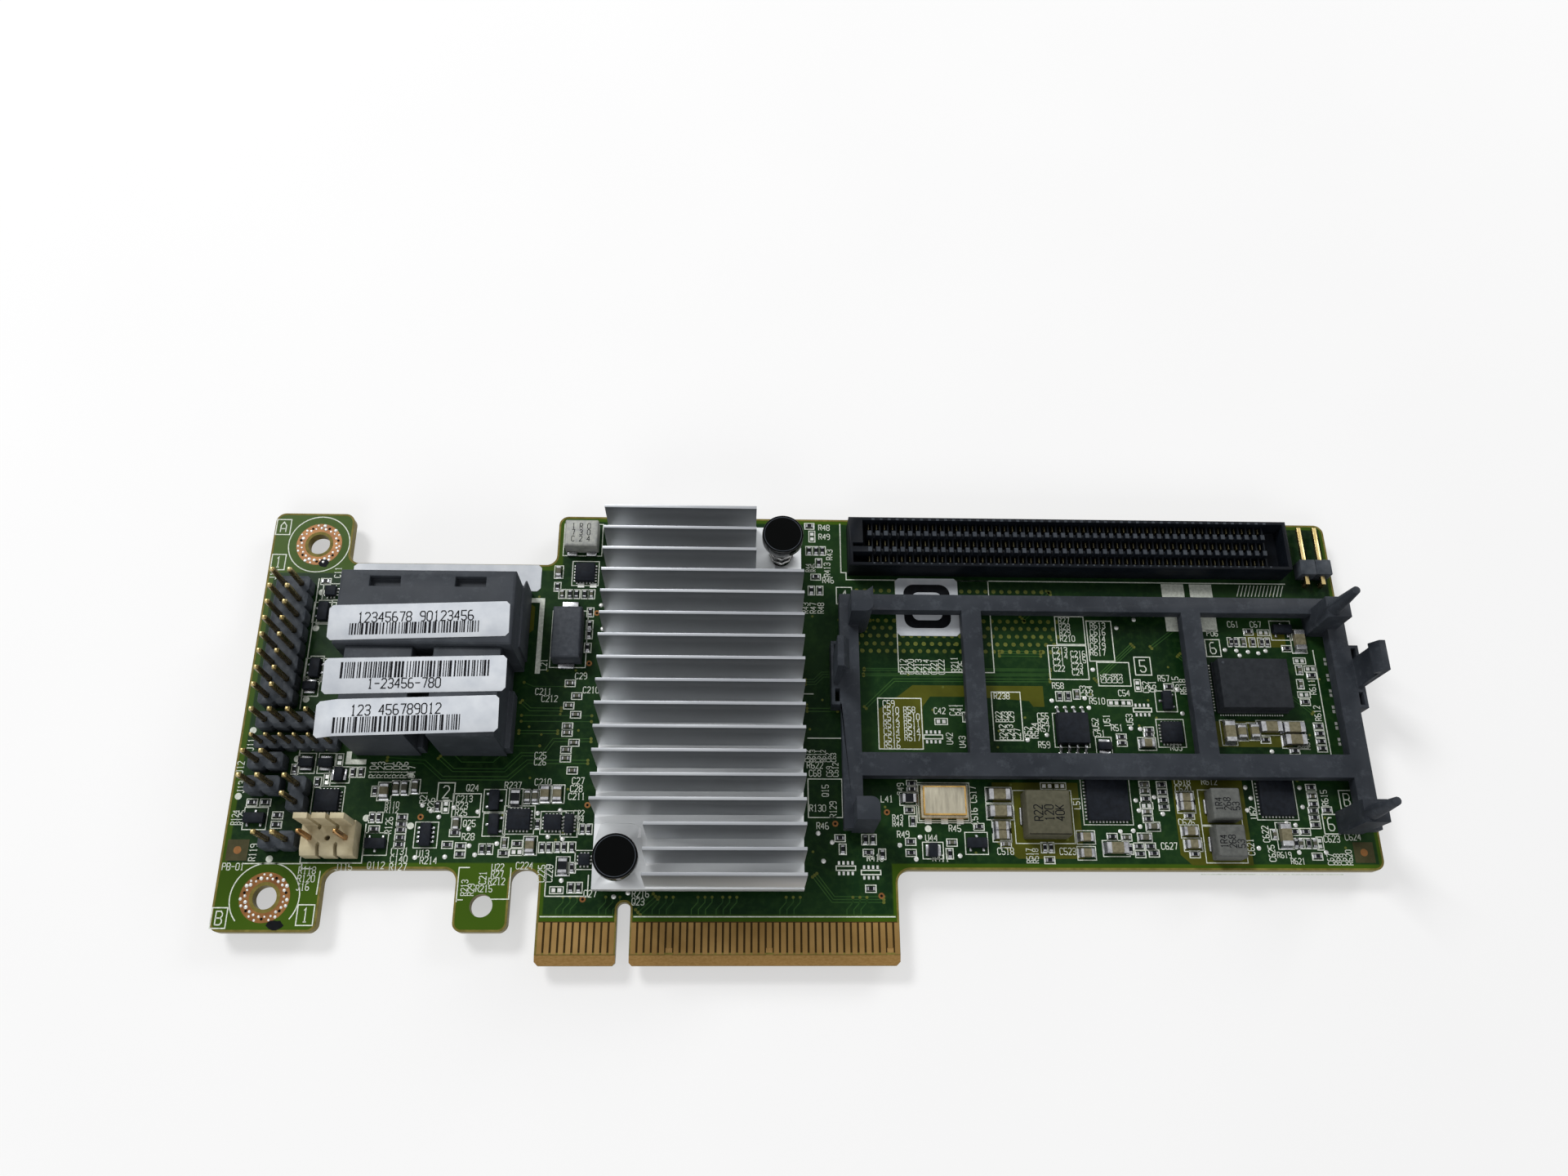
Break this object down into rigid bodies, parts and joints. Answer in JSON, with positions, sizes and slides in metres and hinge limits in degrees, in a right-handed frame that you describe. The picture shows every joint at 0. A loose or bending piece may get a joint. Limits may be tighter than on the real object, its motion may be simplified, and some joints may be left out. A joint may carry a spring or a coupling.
{
  "type": "raid controller card",
  "caption": "Low-profile storage controller card with a finned heat sink, a twin cable connector, pin headers, a cache module frame and socket, and gold edge contacts.",
  "frame": {"origin": "middle of the key notch at the bottom of the edge contacts, on the component side of the board", "axes": "+X along the card away from the bracket end, +Y up the card from the edge contacts, +Z out of the component side"},
  "size_m": [0.1678, 0.0687, 0.0198],
  "materials": {
    "board": "satin solder mask",
    "can_silver": "plain",
    "capacitor_tan": "satin",
    "chip_black": "matt",
    "connector_black": "fine grain",
    "contact_gold": "plated",
    "cream": "satin",
    "ferrite": "matt",
    "ferrite_pale": "matt",
    "frame_black": "satin",
    "header_black": "fine grain",
    "pad_grey": "matt",
    "paper": "matt",
    "pin_black": "glossy",
    "pin_copper": "plated",
    "pin_gold": "plated",
    "resistor_black": "satin",
    "sink_aluminium": "satin",
    "spring_steel": "plain"
  },
  "bodies": {
    "root": {"area_label": "paper", "back_capacitors": "capacitor_tan", "board_label": "paper", "cable_connector_hood": "connector_black", "cable_connector_terminal_blocks": "connector_black", "chip_resistors": "resistor_black", "circuit_board": "board", "connector_labels": "paper", "controller_chip": "chip_black", "edge_contacts_back": "contact_gold", "edge_contacts_front": "contact_gold", "fine_header_body": "header_black", "fine_header_pins": "pin_gold", "flat_chips": "chip_black", "four_pin_header_body": "header_black", "four_pin_header_pins": "pin_gold", "heat_sink": "sink_aluminium", "inductor_pair": "ferrite", "jumper_header_bodies": "header_black", "jumper_header_pins": "pin_gold", "large_chip_capacitors": "capacitor_tan", "large_inductor": "ferrite", "locking_header_body": "cream", "locking_header_pins": "pin_copper", "long_inductor": "ferrite", "memory_chip": "chip_black", "mezzanine_socket": "connector_black", "module_frame": "frame_black", "oscillator": "can_silver", "power_module": "chip_black", "push_pin_lower": "pin_black", "push_pin_spring_lower": "spring_steel", "push_pin_spring_upper": "spring_steel", "push_pin_upper": "pin_black", "side_header_bodies": "header_black", "side_header_pins": "pin_gold", "small_chip_capacitors": "capacitor_tan", "small_inductor": "ferrite_pale", "small_packages": "chip_black", "thermal_pad": "pad_grey", "wide_chip_resistors": "resistor_black", "wide_header_body": "header_black", "wide_header_pins": "pin_gold"}
  },
  "joints": []
}
